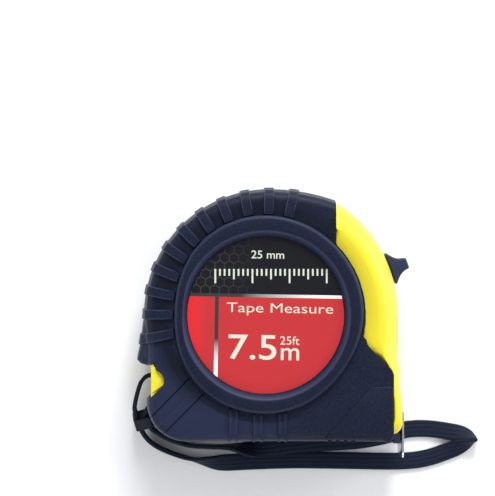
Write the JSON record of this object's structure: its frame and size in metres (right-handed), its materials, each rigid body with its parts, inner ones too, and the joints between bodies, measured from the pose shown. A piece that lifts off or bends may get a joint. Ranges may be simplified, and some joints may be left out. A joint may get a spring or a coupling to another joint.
{
  "type": "tape measure",
  "caption": "Retractable pocket tape measure in a round-backed case with rubber jacket, thumb lock, sliding end hook and looped hand strap.",
  "frame": {"origin": "under the middle of the object's box, on the surface that its rear ring lies on", "axes": "+X the way the blade pulls out, +Y from the flat base to the crown, +Z out of the front label"},
  "size_m": [0.1122, 0.0912, 0.0424],
  "materials": {
    "case_plastic": "moulded, satin gloss",
    "jacket_rubber": "fine matt texture",
    "label_print": "printed film",
    "plain_plate": "satin",
    "bright_steel": "nickel plated",
    "spring_steel": "blued",
    "screw_steel": "zinc plated",
    "reel_plastic": "moulded",
    "blade_enamel": "enamel",
    "lock_plastic": "moulded",
    "brake_rubber": "matt",
    "strap_webbing": "tight weave",
    "keeper_rubber": "matt"
  },
  "bodies": {
    "case": {"front_shell": "case_plastic", "rear_shell": "case_plastic", "front_grip": "jacket_rubber", "rear_grip": "jacket_rubber", "front_label": "label_print", "rear_label": "plain_plate", "axle_post": "bright_steel", "power_spring": "spring_steel", "lock_detent_spring": "spring_steel", "mouth_bumper": "brake_rubber", "mouth_lip": "lock_plastic", "case_screws": "screw_steel", "post_screw": "screw_steel", "strap_bar": "bright_steel", "wrist_strap": "strap_webbing", "strap_keeper": "keeper_rubber"},
    "reel": {"reel_hub": "reel_plastic", "reel_front_flange": "reel_plastic", "reel_rear_flange": "reel_plastic", "blade_coil": "blade_enamel"},
    "blade": {"blade_tongue": "blade_enamel", "hook_rivets": "bright_steel"},
    "hook": {"end_hook": "bright_steel"},
    "lock": {"lock_button": "lock_plastic", "lock_arm": "lock_plastic", "lock_shoe": "brake_rubber"}
  },
  "joints": [
    {"name": "blade_pull", "type": "slide", "parent": "case", "child": "blade", "axis": [1, 0, 0], "range_m": [0, 0.03], "stiffness_N_per_m": 40, "springref_m": -0.05},
    {"name": "hook_play", "type": "slide", "parent": "blade", "child": "hook", "axis": [1, 0, 0], "range_m": [0, 0.0006]},
    {"name": "reel_spin", "type": "hinge", "parent": "case", "child": "reel", "pos_m": [-0.00239, 0.0026, 0.021], "axis": [0, 0, 1], "range_deg": [0, 60], "deforming": ["power_spring"]},
    {"name": "lock_slide", "type": "hinge", "parent": "case", "child": "lock", "pos_m": [-0.00239, 0.0026, 0.021], "axis": [0, 0, 1], "range_deg": [-13, 0]}
  ],
  "couplings": [
    {"joint": "reel_spin", "follows": "blade_pull", "rad_per_m": 33.784}
  ]
}
